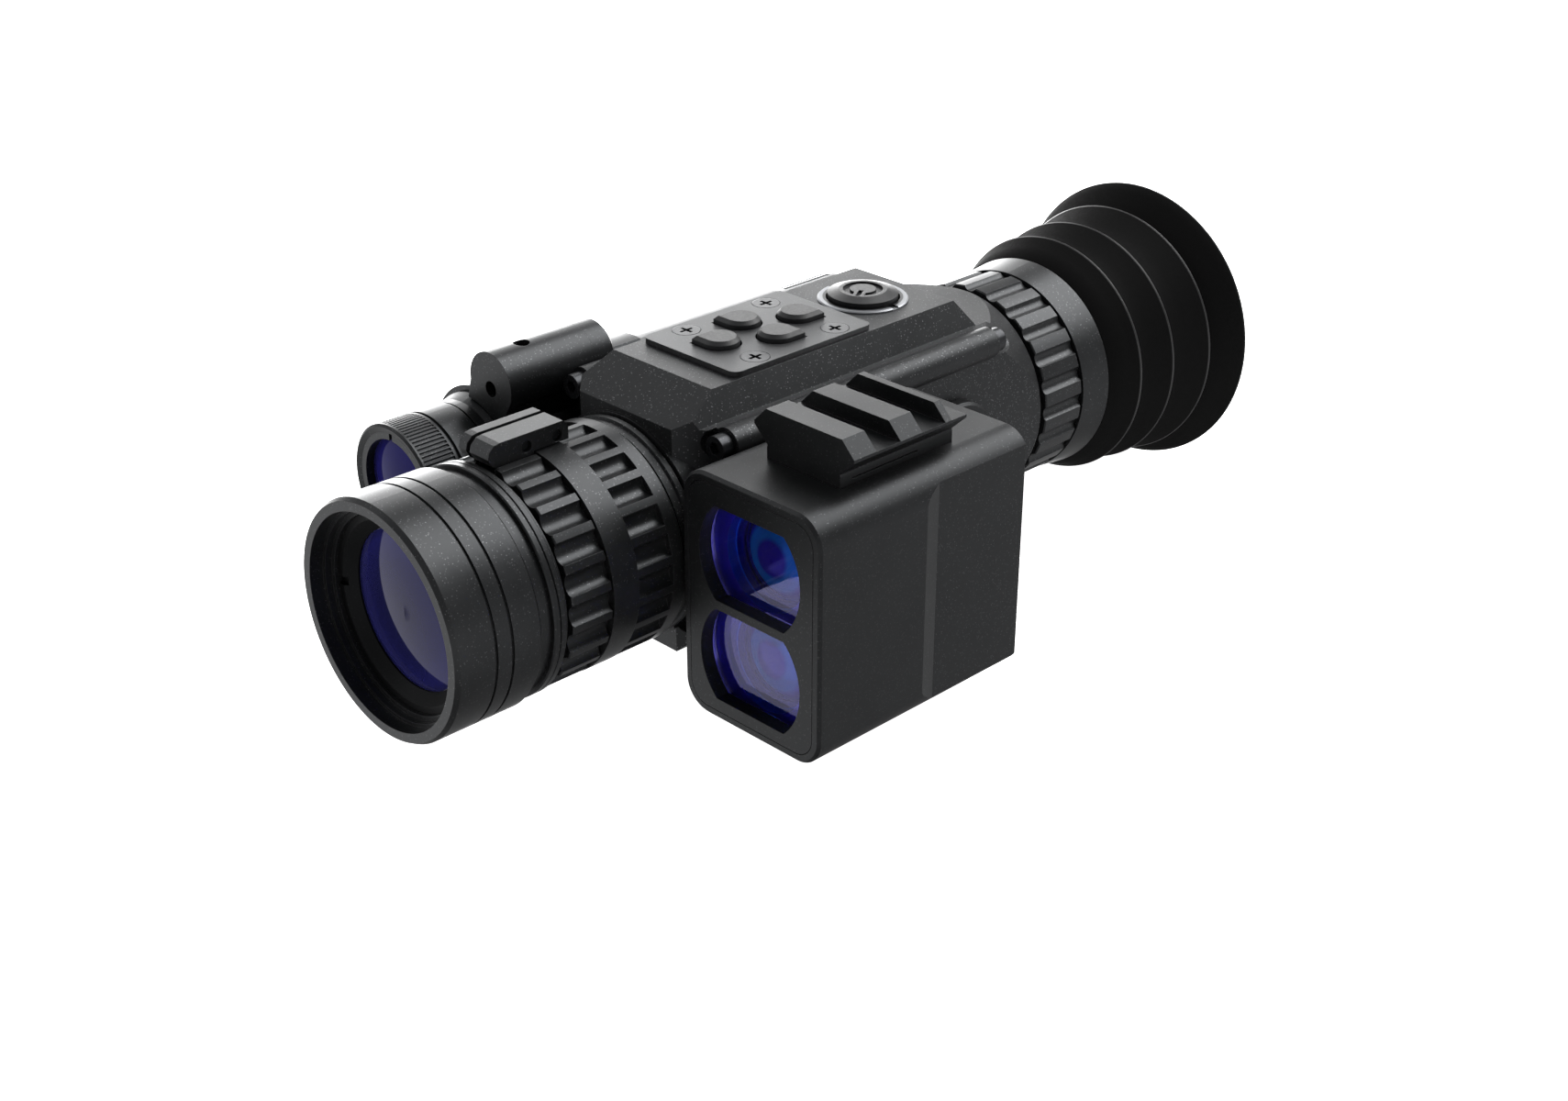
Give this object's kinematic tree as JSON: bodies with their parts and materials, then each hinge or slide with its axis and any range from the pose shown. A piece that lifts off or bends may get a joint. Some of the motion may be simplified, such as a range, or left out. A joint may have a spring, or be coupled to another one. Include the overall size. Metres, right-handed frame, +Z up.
{
  "type": "night vision monocular with rangefinder",
  "caption": "Digital night-vision monocular with a side rangefinder box, infrared illuminator, laser pointer, focus lever, top keypad and rubber eyecup.",
  "frame": {"origin": "centre of the tripod thread in the foot's underside", "axes": "+Z up, objective towards -Y, eyepiece towards +Y, rangefinder box on +X"},
  "size_m": [0.0954, 0.1829, 0.0554],
  "materials": {
    "black_anodised": "bead-blasted black anodised",
    "black_oxide_steel": "black oxide, knurled",
    "silver_anodised": "satin silver anodised",
    "black_polycarbonate": "fine matte",
    "black_rubber": "satin",
    "coated_lens": "violet anti-reflection coating",
    "circuit_board": "solder mask",
    "cell_wrap": "shrink wrap"
  },
  "bodies": {
    "scope_frame": {"battery_cell": "cell_wrap", "battery_cradle": "black_polycarbonate", "bracket_screws": "black_oxide_steel", "control_plate": "black_anodised", "display_module": "black_polycarbonate", "eye_lens": "coated_lens", "eyecup": "black_rubber", "eyepiece_cone": "black_anodised", "eyepiece_tube": "black_anodised", "flange_ring": "black_anodised", "foot_plate": "black_anodised", "foot_screws": "black_oxide_steel", "front_housing": "black_anodised", "front_lens": "coated_lens", "hood": "black_anodised", "housing_screws": "black_oxide_steel", "ir_battery": "cell_wrap", "ir_body": "black_anodised", "ir_bracket": "black_anodised", "key_board": "circuit_board", "lens_retainer": "black_anodised", "lrf_front_panel": "black_anodised", "lrf_housing": "black_anodised", "lrf_lenses": "coated_lens", "lrf_module": "black_anodised", "lrf_rail": "black_anodised", "lrf_screws": "black_oxide_steel", "lrf_windows": "coated_lens", "main_board": "circuit_board", "main_housing": "black_anodised", "objective_tube": "black_anodised", "plate_screws": "black_oxide_steel", "pointer_cap": "black_anodised", "pointer_housing": "black_anodised", "power_bezel": "silver_anodised", "power_switch": "black_polycarbonate", "rear_housing": "black_anodised", "sensor_board": "circuit_board"},
    "focus_ring": {"focus_ring": "black_anodised", "focus_lever": "black_anodised", "lever_screws": "black_oxide_steel"},
    "focus_cell": {"focus_cell": "black_anodised", "focus_lens": "coated_lens"},
    "diopter_ring": {"diopter_ring": "black_anodised"},
    "ocular_cell": {"ocular_cell": "black_anodised", "ocular_lens": "coated_lens"},
    "key_front": {"key_front": "black_polycarbonate"},
    "key_left": {"key_left": "black_polycarbonate"},
    "key_right": {"key_right": "black_polycarbonate"},
    "key_rear": {"key_rear": "black_polycarbonate"},
    "power_button": {"power_button": "black_polycarbonate"},
    "port_cap": {"port_cap": "black_anodised"},
    "ir_head": {"ir_head": "black_anodised", "ir_retainer": "black_anodised", "ir_lens": "coated_lens"},
    "ir_emitter": {"ir_emitter": "black_anodised"},
    "ir_tail_cap": {"ir_tail_cap": "black_anodised"},
    "ir_tail_button": {"ir_tail_button": "black_rubber"},
    "pointer_screw": {"pointer_screw": "black_oxide_steel"}
  },
  "joints": [
    {"name": "focus_turn", "type": "hinge", "parent": "scope_frame", "child": "focus_ring", "pos_m": [0, -0.054, 0.025], "axis": [0, 1, 0], "range_deg": [-50, 50]},
    {"name": "focus_travel", "type": "slide", "parent": "scope_frame", "child": "focus_cell", "axis": [0, 1, 0], "range_m": [-0.0015, 0.0015]},
    {"name": "diopter_turn", "type": "hinge", "parent": "scope_frame", "child": "diopter_ring", "pos_m": [0, 0.052, 0.025], "axis": [0, 1, 0], "range_deg": [-60, 60]},
    {"name": "diopter_travel", "type": "slide", "parent": "scope_frame", "child": "ocular_cell", "axis": [0, 1, 0], "range_m": [-0.0015, 0.0015]},
    {"name": "key_front_press", "type": "slide", "parent": "scope_frame", "child": "key_front", "axis": [0, 0, -1], "range_m": [0, 0.0008], "stiffness_N_per_m": 600, "springref_m": -0.001},
    {"name": "key_left_press", "type": "slide", "parent": "scope_frame", "child": "key_left", "axis": [0, 0, -1], "range_m": [0, 0.0008], "stiffness_N_per_m": 600, "springref_m": -0.001},
    {"name": "key_right_press", "type": "slide", "parent": "scope_frame", "child": "key_right", "axis": [0, 0, -1], "range_m": [0, 0.0008], "stiffness_N_per_m": 600, "springref_m": -0.001},
    {"name": "key_rear_press", "type": "slide", "parent": "scope_frame", "child": "key_rear", "axis": [0, 0, -1], "range_m": [0, 0.0008], "stiffness_N_per_m": 600, "springref_m": -0.001},
    {"name": "power_press", "type": "slide", "parent": "scope_frame", "child": "power_button", "axis": [0, 0, -1], "range_m": [0, 0.0005], "stiffness_N_per_m": 900, "springref_m": -0.001},
    {"name": "port_cap_turn", "type": "hinge", "parent": "scope_frame", "child": "port_cap", "pos_m": [0.0189, 0.021, 0.0258], "axis": [1, 0, 0], "range_deg": [0, 90]},
    {"name": "ir_head_turn", "type": "hinge", "parent": "scope_frame", "child": "ir_head", "pos_m": [-0.0329, -0.053, 0.0275], "axis": [0, 1, 0], "range_deg": [-60, 60]},
    {"name": "ir_zoom_travel", "type": "slide", "parent": "scope_frame", "child": "ir_emitter", "axis": [0, 1, 0], "range_m": [-0.002, 0.002]},
    {"name": "ir_tail_cap_turn", "type": "hinge", "parent": "scope_frame", "child": "ir_tail_cap", "pos_m": [-0.0329, 0.039, 0.0275], "axis": [0, 1, 0], "range_deg": [0, 120]},
    {"name": "ir_tail_press", "type": "slide", "parent": "ir_tail_cap", "child": "ir_tail_button", "axis": [0, -1, 0], "range_m": [0, 0.0008], "stiffness_N_per_m": 800, "springref_m": -0.001},
    {"name": "pointer_adjust", "type": "hinge", "parent": "scope_frame", "child": "pointer_screw", "pos_m": [-0.0262, -0.0364, 0.046], "axis": [0, 0, 1], "range_deg": [-180, 180]}
  ],
  "couplings": [
    {"joint": "focus_travel", "follows": "focus_turn", "m_per_rad": 0.001696},
    {"joint": "diopter_travel", "follows": "diopter_turn", "m_per_rad": 0.001413},
    {"joint": "ir_zoom_travel", "follows": "ir_head_turn", "m_per_rad": 0.001862}
  ]
}
